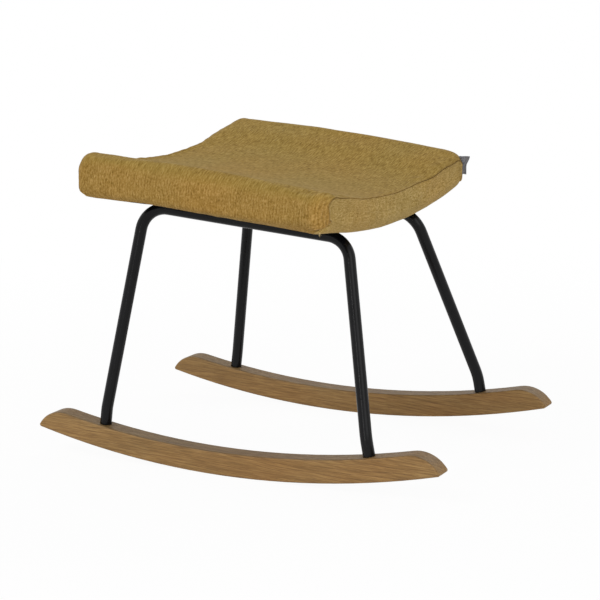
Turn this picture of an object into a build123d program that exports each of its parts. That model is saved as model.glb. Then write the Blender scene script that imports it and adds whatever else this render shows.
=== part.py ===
from build123d import *

import os
from math import asin, cos, degrees, radians, sin, sqrt

# Rocking footstool. Two curved wooden rockers carry two bent steel tubes, each a U
# with splayed legs, and the tubes carry an upholstered saddle-shaped seat.
#
# Millimetres. X runs along the rockers, from the seat's high end to its low end.
# Y runs across, to the left rocker. Z is up. The origin is on the floor, under the
# middle of the stool.
#
# The seat has its own axes, on the plane SEAT: u along the seat, falling to the low
# end, v across (the same as Y), and w square to the seat. The leg frames' top tubes
# lie on the plane TOP, which falls a little more.

os.makedirs("parts", exist_ok=True)

# ---------------------------------------------------------------- driving dimensions

# Rockers
ROCKER_LENGTH = 620.0
ROCKER_SPACING = 348.0  # between the rockers' middle planes
ROCKER_RADIUS = 1300.0  # of the underside
ROCKER_HEIGHT = 32.0
ROCKER_WIDTH = 28.0
NOSE_LENGTH = 48.0  # the end of the top that curves down to the tip
TIP_ROUND = 3.0
ROCKER_EDGE_ROUND = 2.5

# Leg frames
TUBE_DIAMETER = 16.0
TUBE_WALL = 1.5
FOOT_X = 204.0  # where a leg enters the top of its rocker
FOOT_STRAIGHT = 23.0  # from the rocker's top to the bend above it
FOOT_BEND_RADIUS = 60.0
CORNER_U = 143.5  # the top corners of a frame, along the seat
CORNER_SPREAD_HIGH = 280.0  # between the two frames' corners at the high end
CORNER_SPREAD_LOW = 198.0
CORNER_BEND_RADIUS = 36.0
SOCKET_DEPTH = 16.0

# Seat frame
TOP_HEIGHT = 332.0  # of the top tubes' centre lines at mid-length
TOP_TILT = 7.4  # of the top tubes, degrees
SEAT_TILT = 6.2  # of the seat and the cross bars, degrees
BAR_U = 98.0  # the cross bars, along the seat
BAR_WIDTH = 30.0
BAR_THICKNESS = 4.0
BAR_DROP = 4.0  # of the bars' tops below the crown of the tubes, at mid-length
SEAT_BOLT_V = 50.0
SEAT_BOLT_LENGTH = 20.0

# Seat
SEAT_LENGTH = 367.0
SEAT_WIDTH = 430.0
SEAT_SETBACK = 19.5  # of the seat's middle towards the high end
SEAT_GAP = 4.0  # from a cross bar's top to the underside, along the middle
UNDERSIDE_RADIUS = 1410.0
SADDLE_RADIUS = 598.0
VALLEY_THICKNESS = 36.0
CROWN = 2.2  # how much thicker the valley is at mid-length
DRAW_IN = 2.0  # how far each long side is drawn in at mid-length
RIDGE_ROUND = 25.0
HEM_ROUND = 12.0
END_ROUND = 9.0
SHELL_THICKNESS = 10.0
COVER_THICKNESS = 1.2
HEM_WIDTH = 28.0  # of the fabric turned under the shell
PANEL_DEPTH = 7.0  # of an end panel, from its outer face to its seam
DUST_COVER_THICKNESS = 0.8
DUST_COVER_MARGIN = 15.0

# Label
TAG_THICKNESS = 0.6
TAG_HEIGHT = 25.0
TAG_REACH = 10.0
TAG_INSET = 17.0  # from the seat's left side
TAG_LEVEL = 30.4  # of its lower edge above the underside

# Fasteners
BOLT_DIAMETER = 6.0
BOLT_HEAD_DIAMETER = 10.5
BOLT_HEAD_HEIGHT = 3.3
HEX_KEY = 4.0
HEX_DEPTH = 2.2
WASHER_DIAMETER = 12.0
WASHER_THICKNESS = 1.6
COUNTERBORE_DEPTH = 8.0
PLUG_LENGTH = 14.0
PAD_DIAMETER = 20.0
TNUT_FLANGE_DIAMETER = 17.0
TNUT_FLANGE_THICKNESS = 1.5
TNUT_BARREL_DIAMETER = 7.8
TNUT_BARREL_LENGTH = 6.5
STAPLE_CROWN = 10.0
STAPLE_WIRE = 0.7
STAPLE_LEG = 6.0
STAPLE_PITCH = 46.0

# Clearances, on the radius or on one face
SOCKET_CLEARANCE = 0.15
THREAD_CLEARANCE = 0.05
BOLT_CLEARANCE = 0.3
WASHER_CLEARANCE = 0.75
PLUG_CLEARANCE = 0.05
TNUT_CLEARANCE = 0.1

# -------------------------------------------------------------------- derived places

TUBE_RADIUS = TUBE_DIAMETER / 2
BOLT_RADIUS = BOLT_DIAMETER / 2
TOP_RADIUS = ROCKER_RADIUS - ROCKER_HEIGHT  # of the rocker's top, about the same centre
FOOT_ANGLE = asin(FOOT_X / TOP_RADIUS)
TUBE_END_LEVEL = ROCKER_HEIGHT - SOCKET_DEPTH  # above the rocker's underside


def tilted_plane(tilt):
    """A plane through the middle of the top tubes that falls to the low end."""
    slope = radians(tilt)
    return Plane(
        origin=(0, 0, TOP_HEIGHT),
        x_dir=(cos(slope), 0, -sin(slope)),
        z_dir=(sin(slope), 0, cos(slope)),
    )


TOP = tilted_plane(TOP_TILT)
SEAT = tilted_plane(SEAT_TILT)
SEAT_U = Axis(SEAT.origin, SEAT.x_dir)
HIGH_END = -SEAT_LENGTH / 2 - SEAT_SETBACK
LOW_END = SEAT_LENGTH / 2 - SEAT_SETBACK
SEAT_MIDDLE = -SEAT_SETBACK
BAR_TOP = TUBE_RADIUS - BAR_DROP  # above the plane SEAT, as are all the seat's levels
SEAT_LIFT = BAR_TOP + SEAT_GAP  # of the underside, along the middle
SHELL_TOP = SEAT_LIFT + COVER_THICKNESS + SHELL_THICKNESS
SHELL_TOP_RADIUS = UNDERSIDE_RADIUS - COVER_THICKNESS - SHELL_THICKNESS


def rise(radius, distance):
    """Height of an upward-curving arc at a distance from its lowest point."""
    return radius - sqrt(radius**2 - distance**2)


def seat_point(u, v, w):
    return SEAT.from_local_coords((u, v, w))


def cross_plane(u):
    """The plane square to the seat at u: its x is v and its y is w."""
    return Plane(origin=seat_point(u, 0, 0), x_dir=(0, 1, 0), z_dir=SEAT.x_dir)


def foot_plane(end, side):
    """The plane on a rocker's underside below a leg, with its normal up the leg."""
    out = end * sin(FOOT_ANGLE)
    up = cos(FOOT_ANGLE)
    origin = (out * ROCKER_RADIUS, side * ROCKER_SPACING / 2, ROCKER_RADIUS * (1 - up))
    return Plane(origin=origin, x_dir=(up, 0, out), z_dir=(-out, 0, up))


SIDES = {"right": -1, "left": 1}
ENDS = {"high": -1, "low": 1}
FOOT_PLANES = [foot_plane(end, side) for side in SIDES.values() for end in ENDS.values()]
CORNER_SPREADS = {-1: CORNER_SPREAD_HIGH, 1: CORNER_SPREAD_LOW}


def frame_spread(u):
    """Distance between the two frames' top tubes at u."""
    middle = (CORNER_SPREAD_HIGH + CORNER_SPREAD_LOW) / 2
    return middle + (CORNER_SPREAD_LOW - CORNER_SPREAD_HIGH) / 2 * u / CORNER_U


def corner_point(end, side):
    return TOP.from_local_coords((end * CORNER_U, side * CORNER_SPREADS[end] / 2, 0))


def save(piece, name):
    piece.label = name
    export_step(piece, f"parts/{name}.step")


# -------------------------------------------------------------------------- rockers


def rocker(side):
    """One rocker: an arc of even height whose ends curve down to the tips."""
    tip_angle = asin(ROCKER_LENGTH / 2 / ROCKER_RADIUS)
    nose_angle = asin((ROCKER_LENGTH / 2 - NOSE_LENGTH) / TOP_RADIUS)
    tip = (ROCKER_RADIUS * sin(tip_angle), ROCKER_RADIUS * (1 - cos(tip_angle)))
    nose = (TOP_RADIUS * sin(nose_angle), ROCKER_RADIUS - TOP_RADIUS * cos(nose_angle))
    along = (cos(nose_angle), sin(nose_angle))
    side_plane = Plane(
        origin=(0, side * ROCKER_SPACING / 2, 0), x_dir=(1, 0, 0), z_dir=(0, -1, 0)
    )
    feet = [foot_plane(end, side) for end in ENDS.values()]

    with BuildPart() as body:
        with BuildSketch(side_plane):
            with BuildLine():
                ThreePointArc((-tip[0], tip[1]), (0, 0), tip)
                ThreePointArc((-nose[0], nose[1]), (0, ROCKER_HEIGHT), nose)
                TangentArc(nose, tip, tangent=along)
                TangentArc(
                    (-nose[0], nose[1]), (-tip[0], tip[1]), tangent=(-along[0], along[1])
                )
            make_face()
        extrude(amount=ROCKER_WIDTH / 2, both=True)
        cross_edges = body.edges().filter_by(Axis.Y).sort_by(Axis.X)
        fillet([cross_edges[0], cross_edges[-1]], TIP_ROUND)
        fillet(body.faces().filter_by(Axis.Y).edges(), ROCKER_EDGE_ROUND)

        # Sockets for the legs, bolt holes and counterbores from below
        with BuildSketch(*[foot.offset(TUBE_END_LEVEL) for foot in feet]):
            Circle(TUBE_RADIUS + SOCKET_CLEARANCE)
        extrude(amount=2 * SOCKET_DEPTH, mode=Mode.SUBTRACT)
        with BuildSketch(*feet):
            Circle(BOLT_RADIUS + BOLT_CLEARANCE)
        extrude(amount=ROCKER_HEIGHT, mode=Mode.SUBTRACT)
        with BuildSketch(*[foot.offset(COUNTERBORE_DEPTH) for foot in feet]):
            Circle(WASHER_DIAMETER / 2 + WASHER_CLEARANCE)
        extrude(amount=-2 * COUNTERBORE_DEPTH, mode=Mode.SUBTRACT)
    return body.part


for side_name, side in SIDES.items():
    save(rocker(side), f"rocker_{side_name}")

# ----------------------------------------------------------------------- leg frames


def frame_points(side):
    """The corners of one frame's centre line, from foot to foot."""
    points = []
    for end in ENDS.values():
        foot = foot_plane(end, side)
        climb = [
            foot.offset(TUBE_END_LEVEL).origin,
            foot.offset(ROCKER_HEIGHT + FOOT_STRAIGHT).origin,
            corner_point(end, side),
        ]
        points += climb if end == ENDS["high"] else climb[::-1]
    return points


def leg_frame(side):
    """One tube, bent at both top corners and just above both rockers."""
    bends = [FOOT_BEND_RADIUS, CORNER_BEND_RADIUS, CORNER_BEND_RADIUS, FOOT_BEND_RADIUS]
    with BuildPart() as body:
        with BuildLine() as centre_line:
            FilletPolyline(*frame_points(side), radius=bends)
        with BuildSketch(centre_line.line ^ 0):
            Circle(TUBE_RADIUS)
            Circle(TUBE_RADIUS - TUBE_WALL, mode=Mode.SUBTRACT)
        sweep()
    return body.part


for side_name, side in SIDES.items():
    save(leg_frame(side), f"leg_frame_{side_name}")

# ----------------------------------------------------------------------- cross bars


def cross_bar(end):
    """A flat bar butt-welded between the top tubes, its ends coped to them."""
    u = end * BAR_U
    bolt_points = [(u, side * SEAT_BOLT_V) for side in SIDES.values()]
    with BuildPart() as body:
        with BuildSketch(SEAT.offset(BAR_TOP)):
            with Locations((u, 0)):
                Rectangle(BAR_WIDTH, frame_spread(u))
            with Locations(*bolt_points):
                Circle(BOLT_RADIUS + BOLT_CLEARANCE, mode=Mode.SUBTRACT)
        extrude(amount=-BAR_THICKNESS)
        for side in SIDES.values():
            start = corner_point(-1, side)
            tube_axis = corner_point(1, side) - start
            with BuildSketch(Plane(origin=start, z_dir=tube_axis)):
                Circle(TUBE_RADIUS)
            extrude(amount=tube_axis.length, mode=Mode.SUBTRACT)
    return body.part


for end_name, end in ENDS.items():
    save(cross_bar(end), f"cross_bar_{end_name}")

# --------------------------------------------------------------- seat: shared forms


def cushion_section(u, inset, draw_in=0.0, crown=0.0):
    """The seat's outline square to its length, moved in by inset on every side."""
    half = SEAT_WIDTH / 2 - inset - draw_in
    low_radius = UNDERSIDE_RADIUS - inset
    high_radius = SADDLE_RADIUS + inset
    low = SEAT_LIFT + inset
    high = SEAT_LIFT + VALLEY_THICKNESS + crown - inset
    low_edge = low + rise(low_radius, half)
    high_edge = high + rise(high_radius, half)
    with BuildSketch(cross_plane(u)) as section:
        with BuildLine():
            ThreePointArc((-half, low_edge), (0, low), (half, low_edge))
            Line((half, low_edge), (half, high_edge))
            ThreePointArc((half, high_edge), (0, high), (-half, high_edge))
            Line((-half, high_edge), (-half, low_edge))
        make_face()
        fillet(section.vertices().group_by(Axis.Y)[-1], RIDGE_ROUND - inset)
        fillet(section.vertices().group_by(Axis.Y)[0], HEM_ROUND - inset)
    return section.sketch


def cushion_body(inset):
    """The whole seat's form, moved in by inset, with its ends rounded."""
    sections = [
        cushion_section(HIGH_END + inset, inset),
        cushion_section(SEAT_MIDDLE, inset, draw_in=DRAW_IN, crown=CROWN),
        cushion_section(LOW_END - inset, inset),
    ]
    with BuildPart() as body:
        loft(sections=sections)
        by_length = body.faces().sort_by(SEAT_U)
        end_edges = by_length[0].edges() + by_length[-1].edges()
        fillet(end_edges, END_ROUND - inset)
    return body.part


def below_arc(radius, lowest, margin=30.0):
    """Everything in the seat's reach below an arc that runs along its length."""
    half = SEAT_WIDTH / 2 + margin
    edge = lowest + rise(radius, half)
    floor = -TUBE_DIAMETER
    with BuildPart() as region:
        with BuildSketch(cross_plane(HIGH_END - margin)):
            with BuildLine():
                ThreePointArc((-half, edge), (0, lowest), (half, edge))
                Polyline((half, edge), (half, floor), (-half, floor), (-half, edge))
            make_face()
        extrude(amount=SEAT_LENGTH + 2 * margin)
    return region.part


outer_form = cushion_body(0.0)
inner_form = cushion_body(COVER_THICKNESS)
below_shell_top = below_arc(SHELL_TOP_RADIUS, SHELL_TOP)
below_underside = below_arc(UNDERSIDE_RADIUS, SEAT_LIFT)
below_dust_cover = below_arc(
    UNDERSIDE_RADIUS + DUST_COVER_THICKNESS, SEAT_LIFT - DUST_COVER_THICKNESS
)
SEAT_BOLT_POINTS = [
    (end * BAR_U, side * SEAT_BOLT_V) for end in ENDS.values() for side in SIDES.values()
]

# -------------------------------------------------------------------------- staples


def staple_place(u, v, turn):
    """Where a staple's crown lies on the dust cover, turned about its own axis.

    Its legs go through the dust cover and the hem into the shell."""
    lean = asin(v / UNDERSIDE_RADIUS)
    w = SEAT_LIFT - DUST_COVER_THICKNESS + rise(UNDERSIDE_RADIUS, v)
    return SEAT.location * Location((u, v, w), (degrees(lean), 0, turn))


def even_places(span):
    """Places at about the staples' pitch, even about the middle of a span."""
    count = int(span // STAPLE_PITCH)
    return [(i - (count - 1) / 2) * span / count for i in range(count)]


STAPLE_INSET = (DUST_COVER_MARGIN + HEM_WIDTH) / 2
staple_v = SEAT_WIDTH / 2 - STAPLE_INSET
staple_u = SEAT_LENGTH / 2 - STAPLE_INSET
staple_places = [
    staple_place(SEAT_MIDDLE + along, side * staple_v, 0)
    for side in SIDES.values()
    for along in even_places(2 * staple_u)
]
staple_places += [
    staple_place(SEAT_MIDDLE + end * staple_u, across, 90)
    for end in ENDS.values()
    for across in even_places(2 * staple_v)
]

with BuildPart() as staples:
    with Locations(*staple_places):
        with Locations((0, 0, -STAPLE_WIRE / 2)):
            Box(STAPLE_CROWN, STAPLE_WIRE, STAPLE_WIRE)
        with Locations(
            ((STAPLE_CROWN - STAPLE_WIRE) / 2, 0, 0), ((STAPLE_WIRE - STAPLE_CROWN) / 2, 0, 0)
        ):
            Box(
                STAPLE_WIRE,
                STAPLE_WIRE,
                STAPLE_LEG,
                align=(Align.CENTER, Align.CENTER, Align.MIN),
            )
save(staples.part, "staples")

# -------------------------------------------------------------------- shell and foam

# A T-nut's flange lies just below the shell's top at the side nearer the middle
TNUT_TOP = SHELL_TOP + rise(SHELL_TOP_RADIUS, SEAT_BOLT_V - TNUT_FLANGE_DIAMETER / 2)
TNUT_SEAT = TNUT_TOP - TNUT_FLANGE_THICKNESS

with BuildPart() as seat_shell:
    add(inner_form)
    add(below_shell_top, mode=Mode.INTERSECT)
    with BuildSketch(SEAT.offset(TNUT_SEAT)):
        with Locations(*SEAT_BOLT_POINTS):
            Circle(TNUT_FLANGE_DIAMETER / 2 + TNUT_CLEARANCE)
    extrude(amount=SHELL_THICKNESS, mode=Mode.SUBTRACT)
    with BuildSketch(SEAT.offset(TNUT_SEAT)):
        with Locations(*SEAT_BOLT_POINTS):
            Circle(TNUT_BARREL_DIAMETER / 2 + TNUT_CLEARANCE)
    extrude(amount=-2 * SHELL_THICKNESS, mode=Mode.SUBTRACT)
    add(staples.part, mode=Mode.SUBTRACT)
save(seat_shell.part, "seat_shell")

with BuildPart() as foam_pad:
    add(inner_form)
    add(below_shell_top, mode=Mode.SUBTRACT)
save(foam_pad.part, "foam_pad")

# ------------------------------------------------------------------- fabric covers

HIGH_SEAM = cross_plane(HIGH_END + PANEL_DEPTH)
LOW_SEAM = cross_plane(LOW_END - PANEL_DEPTH)

with BuildPart() as cover_skin:
    add(outer_form)
    add(inner_form, mode=Mode.SUBTRACT)
    with BuildSketch(SEAT):
        with Locations((SEAT_MIDDLE, 0)):
            RectangleRounded(
                SEAT_LENGTH - 2 * HEM_WIDTH, SEAT_WIDTH - 2 * HEM_WIDTH, HEM_WIDTH / 2
            )
    extrude(amount=SHELL_TOP, mode=Mode.SUBTRACT)
    add(staples.part, mode=Mode.SUBTRACT)

with BuildPart() as seat_cover:
    add(cover_skin.part)
    split(bisect_by=HIGH_SEAM, keep=Keep.TOP)
    split(bisect_by=LOW_SEAM, keep=Keep.BOTTOM)
save(seat_cover.part, "seat_cover")

with BuildPart() as end_panel_high:
    add(cover_skin.part)
    split(bisect_by=HIGH_SEAM, keep=Keep.BOTTOM)
save(end_panel_high.part, "end_panel_high")

with BuildPart() as end_panel_low:
    add(cover_skin.part)
    split(bisect_by=LOW_SEAM, keep=Keep.TOP)
save(end_panel_low.part, "end_panel_low")

with BuildPart() as dust_cover:
    with BuildSketch(SEAT):
        with Locations((SEAT_MIDDLE, 0)):
            RectangleRounded(
                SEAT_LENGTH - 2 * DUST_COVER_MARGIN,
                SEAT_WIDTH - 2 * DUST_COVER_MARGIN,
                DUST_COVER_MARGIN,
            )
        with Locations(*SEAT_BOLT_POINTS):
            Circle(BOLT_RADIUS + BOLT_CLEARANCE, mode=Mode.SUBTRACT)
    extrude(amount=SHELL_TOP + SHELL_THICKNESS)
    add(below_underside, mode=Mode.INTERSECT)
    add(below_dust_cover, mode=Mode.SUBTRACT)
    add(staples.part, mode=Mode.SUBTRACT)
save(dust_cover.part, "dust_cover")

# ---------------------------------------------------------------------------- label

TAG_V = SEAT_WIDTH / 2 - TAG_INSET

# A ribbon folded in two, round at its fold
with BuildPart() as label_tag:
    with BuildSketch(SEAT.offset(SEAT_LIFT + TAG_LEVEL)):
        with Locations((LOW_END - END_ROUND, TAG_V)):
            Rectangle(
                END_ROUND + TAG_REACH - TAG_THICKNESS,
                2 * TAG_THICKNESS,
                align=(Align.MIN, Align.CENTER),
            )
        with Locations((LOW_END + TAG_REACH - TAG_THICKNESS, TAG_V)):
            Circle(TAG_THICKNESS)
    extrude(amount=TAG_HEIGHT)
    add(outer_form, mode=Mode.SUBTRACT)
save(label_tag.part, "label_tag")

# ------------------------------------------------------------------------ fasteners


def round_pieces(planes, radius, length, hole_radius=0.0):
    """Round pieces of one length, one on each plane, with a hole through or none."""
    with BuildPart() as group:
        with BuildSketch(*planes):
            Circle(radius)
            if hole_radius > 0:
                Circle(hole_radius, mode=Mode.SUBTRACT)
        extrude(amount=length)
    return group.part


def button_bolts(planes, length):
    """Button-head bolts whose heads bear on the planes from below."""
    with BuildPart() as group:
        with BuildSketch(*planes):
            Circle(BOLT_HEAD_DIAMETER / 2)
        extrude(amount=-BOLT_HEAD_HEIGHT)
        with BuildSketch(*planes):
            Circle(BOLT_RADIUS)
        extrude(amount=length)
        with BuildSketch(*[plane.offset(-BOLT_HEAD_HEIGHT) for plane in planes]):
            RegularPolygon(HEX_KEY / 2, 6, major_radius=False)
        extrude(amount=HEX_DEPTH, mode=Mode.SUBTRACT)
    return group.part


WASHER_HOLE = BOLT_RADIUS + BOLT_CLEARANCE
ROCKER_WASHER_LEVEL = COUNTERBORE_DEPTH - WASHER_THICKNESS
ROCKER_BOLT_LENGTH = TUBE_END_LEVEL + PLUG_LENGTH - ROCKER_WASHER_LEVEL

plug_planes = [plane.offset(TUBE_END_LEVEL) for plane in FOOT_PLANES]
rocker_washer_planes = [plane.offset(ROCKER_WASHER_LEVEL) for plane in FOOT_PLANES]
leg_plugs = round_pieces(
    plug_planes,
    TUBE_RADIUS - TUBE_WALL - PLUG_CLEARANCE,
    PLUG_LENGTH,
    BOLT_RADIUS + THREAD_CLEARANCE,
)
save(leg_plugs, "leg_plugs")
rocker_washers = round_pieces(
    rocker_washer_planes, WASHER_DIAMETER / 2, WASHER_THICKNESS, WASHER_HOLE
)
save(rocker_washers, "rocker_washers")
save(button_bolts(rocker_washer_planes, ROCKER_BOLT_LENGTH), "rocker_bolts")


def seat_bolt_planes(level):
    return [
        Plane(origin=seat_point(u, v, level), x_dir=SEAT.x_dir, z_dir=SEAT.z_dir)
        for u, v in SEAT_BOLT_POINTS
    ]


seat_washer_planes = seat_bolt_planes(BAR_TOP - BAR_THICKNESS - WASHER_THICKNESS)
seat_washers = round_pieces(
    seat_washer_planes, WASHER_DIAMETER / 2, WASHER_THICKNESS, WASHER_HOLE
)
save(seat_washers, "seat_washers")
save(button_bolts(seat_washer_planes, SEAT_BOLT_LENGTH), "seat_bolts")

with BuildPart() as seat_pads:
    with BuildSketch(*seat_bolt_planes(BAR_TOP)):
        Circle(PAD_DIAMETER / 2)
        Circle(WASHER_HOLE, mode=Mode.SUBTRACT)
    extrude(amount=SEAT_LIFT)
    add(below_dust_cover, mode=Mode.INTERSECT)
save(seat_pads.part, "seat_pads")

with BuildPart() as t_nuts:
    with BuildSketch(*seat_bolt_planes(TNUT_SEAT)):
        Circle(TNUT_FLANGE_DIAMETER / 2)
    extrude(amount=TNUT_FLANGE_THICKNESS)
    with BuildSketch(*seat_bolt_planes(TNUT_SEAT)):
        Circle(TNUT_BARREL_DIAMETER / 2)
    extrude(amount=-TNUT_BARREL_LENGTH)
    with BuildSketch(*seat_bolt_planes(TNUT_TOP)):
        Circle(BOLT_RADIUS + THREAD_CLEARANCE)
    extrude(amount=-TNUT_FLANGE_THICKNESS - TNUT_BARREL_LENGTH, mode=Mode.SUBTRACT)
save(t_nuts.part, "t_nuts")
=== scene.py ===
from math import atan2, cos, pi, radians, sin, sqrt

import bpy
import numpy as np
from mathutils import Matrix, Vector, noise


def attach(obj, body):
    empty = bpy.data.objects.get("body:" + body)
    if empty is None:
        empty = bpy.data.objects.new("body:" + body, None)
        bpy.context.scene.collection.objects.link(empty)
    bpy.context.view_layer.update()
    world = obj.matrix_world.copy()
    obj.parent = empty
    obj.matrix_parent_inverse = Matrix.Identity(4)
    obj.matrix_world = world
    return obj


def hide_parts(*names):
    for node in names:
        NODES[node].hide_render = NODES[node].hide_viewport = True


# Looks of the rocking footstool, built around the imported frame. Metres.
#
# X runs from the seat's high end to its low end, Y to the left rocker, Z up. The seat
# has its own axes: u along it, v across (the same as Y), and w square to it.

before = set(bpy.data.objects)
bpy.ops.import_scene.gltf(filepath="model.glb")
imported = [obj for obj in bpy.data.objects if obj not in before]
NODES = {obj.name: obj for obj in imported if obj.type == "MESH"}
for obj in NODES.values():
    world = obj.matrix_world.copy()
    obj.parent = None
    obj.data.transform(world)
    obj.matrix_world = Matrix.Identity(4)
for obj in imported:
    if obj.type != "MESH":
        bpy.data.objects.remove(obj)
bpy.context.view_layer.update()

# ----- seat dimensions

SEAT_HEIGHT = 0.332
SEAT_SLOPE = radians(6.2)
HIGH_END = -0.203
LOW_END = 0.164
SEAT_MIDDLE = (HIGH_END + LOW_END) / 2
SEAT_LENGTH = LOW_END - HIGH_END
SEAT_WIDTH = 0.430
SEAT_LIFT = 0.0080
UNDERSIDE_RADIUS = 1.410
SADDLE_RADIUS = 0.598
VALLEY_THICKNESS = 0.036
CROWN = 0.0022
DRAW_IN = 0.002
RIDGE_ROUND = 0.025
HEM_ROUND = 0.012
END_ROUND = 0.009
COVER_THICKNESS = 0.0012
DUST_COVER_MARGIN = 0.015
DUST_COVER_THICKNESS = 0.0008
SHELL_THICKNESS = 0.010

ALONG = [cos(SEAT_SLOPE), 0.0, -sin(SEAT_SLOPE)]
SQUARE = [sin(SEAT_SLOPE), 0.0, cos(SEAT_SLOPE)]
SEAT_AXES = np.array([ALONG, [0.0, 1.0, 0.0], SQUARE])


def to_frame(points):
    """Seat coordinates (u, v, w) to the frame's."""
    return np.array([0.0, 0.0, SEAT_HEIGHT]) + np.asarray(points, float) @ SEAT_AXES


def ramp(value, start, end):
    """0 up to the start, 1 from the end on, and a smooth step between them."""
    t = np.clip((np.asarray(value, float) - start) / (end - start), 0.0, 1.0)
    return t * t * (3 - 2 * t)


def bell(value, middle, width):
    """1 at the middle, falling off smoothly to both sides."""
    return np.exp(-(((value - middle) / width) ** 2))


# ----- making pieces


def new_mesh(name, points, faces):
    mesh = bpy.data.meshes.new(name)
    mesh.from_pydata([tuple(p) for p in points], [], faces)
    mesh.update()
    return mesh


def new_object(name, data):
    thing = bpy.data.objects.new(name, data)
    bpy.context.scene.collection.objects.link(thing)
    return thing


def add_piece(name, points, faces, material):
    """A smooth mesh piece from frame coordinates that rides on the body."""
    mesh = new_mesh(name, points, faces)
    mesh.materials.append(material)
    mesh.polygons.foreach_set("use_smooth", [True] * len(mesh.polygons))
    piece = new_object(name, mesh)
    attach(piece, "root")
    return piece


def set_all(thing, settings):
    for key, value in settings.items():
        setattr(thing, key, value)


def add_modifier(piece, kind, **settings):
    modifier = piece.modifiers.new(kind.lower(), kind)
    set_all(modifier, settings)
    return modifier


def tube_faces(rows, columns, start=0):
    """Quads between rows of points that go all the way round, facing out."""
    faces = []
    for row in range(rows - 1):
        a = start + row * columns
        b = a + columns
        for column in range(columns):
            after = (column + 1) % columns
            faces.append((a + column, b + column, b + after, a + after))
    return faces


def lay_cloth(piece, flat):
    """Gives a piece its cloth map: (x, y) in metres for each corner of each face."""
    layer = piece.data.uv_layers.new(name="Cloth")
    layer.data.foreach_set("uv", np.array(flat).ravel())


def sheet_faces(rows, columns):
    """Quads between the points of a grid that is listed row by row."""
    faces = []
    for i in range(rows - 1):
        for j in range(columns - 1):
            a = i * columns + j
            faces.append((a, a + 1, a + 1 + columns, a + columns))
    return faces


def subdivide(piece):
    add_modifier(piece, "SUBSURF", levels=1, render_levels=1)


def vertex_normals(points, faces):
    mesh = new_mesh("normals", points, faces)
    normals = np.zeros(len(points) * 3)
    mesh.vertex_normals.foreach_get("vector", normals)
    bpy.data.meshes.remove(mesh)
    return normals.reshape(-1, 3)


# ----- materials


def srgb(red, green, blue):
    """An 8-bit display colour as the linear colour that a shader takes."""
    linear = []
    for value in (red, green, blue):
        value /= 255
        linear.append(value / 12.92 if value <= 0.04045 else ((value + 0.055) / 1.055) ** 2.4)
    return (*linear, 1.0)


class Nodes:
    """One material's or world's node tree, built by short calls that return sockets."""

    def __init__(self, owner):
        owner.use_nodes = True
        self.tree = owner.node_tree
        self.tree.nodes.clear()

    def node(self, kind, inputs=None, **settings):
        node = self.tree.nodes.new(kind)
        set_all(node, settings)
        for key, value in (inputs or {}).items():
            self.give(node.inputs[key], value)
        return node

    def give(self, socket, value):
        if isinstance(value, bpy.types.NodeSocket):
            self.tree.links.new(value, socket)
        else:
            socket.default_value = value

    def math(self, operation, first, second=0.0):
        inputs = {0: first, 1: second}
        return self.node("ShaderNodeMath", inputs, operation=operation).outputs[0]

    def add(self, first, second):
        return self.math("ADD", first, second)

    def times(self, first, second):
        return self.math("MULTIPLY", first, second)

    def scaled(self, vector, x, y, z=1.0):
        inputs = {0: vector, 1: (x, y, z)}
        return self.node("ShaderNodeVectorMath", inputs, operation="MULTIPLY").outputs[0]

    def noise(self, vector, scale=1.0, detail=2.0, roughness=0.5, distortion=0.0):
        names = ("Vector", "Scale", "Detail", "Roughness", "Distortion")
        inputs = dict(zip(names, (vector, scale, detail, roughness, distortion)))
        return self.node("ShaderNodeTexNoise", inputs).outputs["Fac"]

    def fit(self, value, low, high, new_low=0.0, new_high=1.0, smooth=False):
        names = ("Value", "From Min", "From Max", "To Min", "To Max")
        inputs = dict(zip(names, (value, low, high, new_low, new_high)))
        kind = "SMOOTHSTEP" if smooth else "LINEAR"
        return self.node("ShaderNodeMapRange", inputs, interpolation_type=kind).outputs[0]

    def spread(self, value, new_low=0.0, new_high=1.0):
        """Noise, most of which lies between 0.3 and 0.7, spread over a wider range."""
        return self.fit(value, 0.3, 0.7, new_low, new_high)

    def mix(self, factor, first, second, blend="MIX"):
        """Two colours mixed; their sockets are the node's 6 and 7, and its output 2."""
        node = self.node("ShaderNodeMix", data_type="RGBA", blend_type=blend)
        for socket, value in (("Factor", factor), (6, first), (7, second)):
            self.give(node.inputs[socket], value)
        return node.outputs[2]

    def tinted(self, factor, colour, tint):
        """The colour moved by a factor toward its product with a tint."""
        return self.mix(factor, colour, self.mix(1.0, colour, tint, "MULTIPLY"))

    def bump(self, height, distance, strength=1.0):
        inputs = {"Height": height, "Distance": distance, "Strength": strength}
        return self.node("ShaderNodeBump", inputs).outputs[0]

    def position(self):
        return self.node("ShaderNodeTexCoord").outputs["Object"]

    def cloth(self):
        return self.node("ShaderNodeUVMap", uv_map="Cloth").outputs[0]

    def normal(self, axis):
        geometry = self.node("ShaderNodeNewGeometry")
        return self.split(geometry.outputs["Normal"])[axis]

    def split(self, vector):
        return self.node("ShaderNodeSeparateXYZ", {0: vector}).outputs

    def join(self, x, y):
        return self.node("ShaderNodeCombineXYZ", {0: x, 1: y}).outputs[0]

    def surface(self, colour, roughness, normal, others=None):
        inputs = {"Base Color": colour, "Roughness": roughness, "Normal": normal}
        shader = self.node("ShaderNodeBsdfPrincipled", {**inputs, **(others or {})})
        self.node("ShaderNodeOutputMaterial", {"Surface": shader.outputs[0]})


def make_material(name, build, *looks):
    """A material whose nodes are built by a function."""
    material = bpy.data.materials.new(name)
    build(Nodes(material), *looks)
    return material


# The fabric's side and top colours: the change between them is a painted sheen of the pile
FABRIC_SIDE = srgb(155, 123, 62)
FABRIC_TOP = srgb(153, 126, 61)
FABRIC_PANEL = srgb(174, 146, 83)
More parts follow.
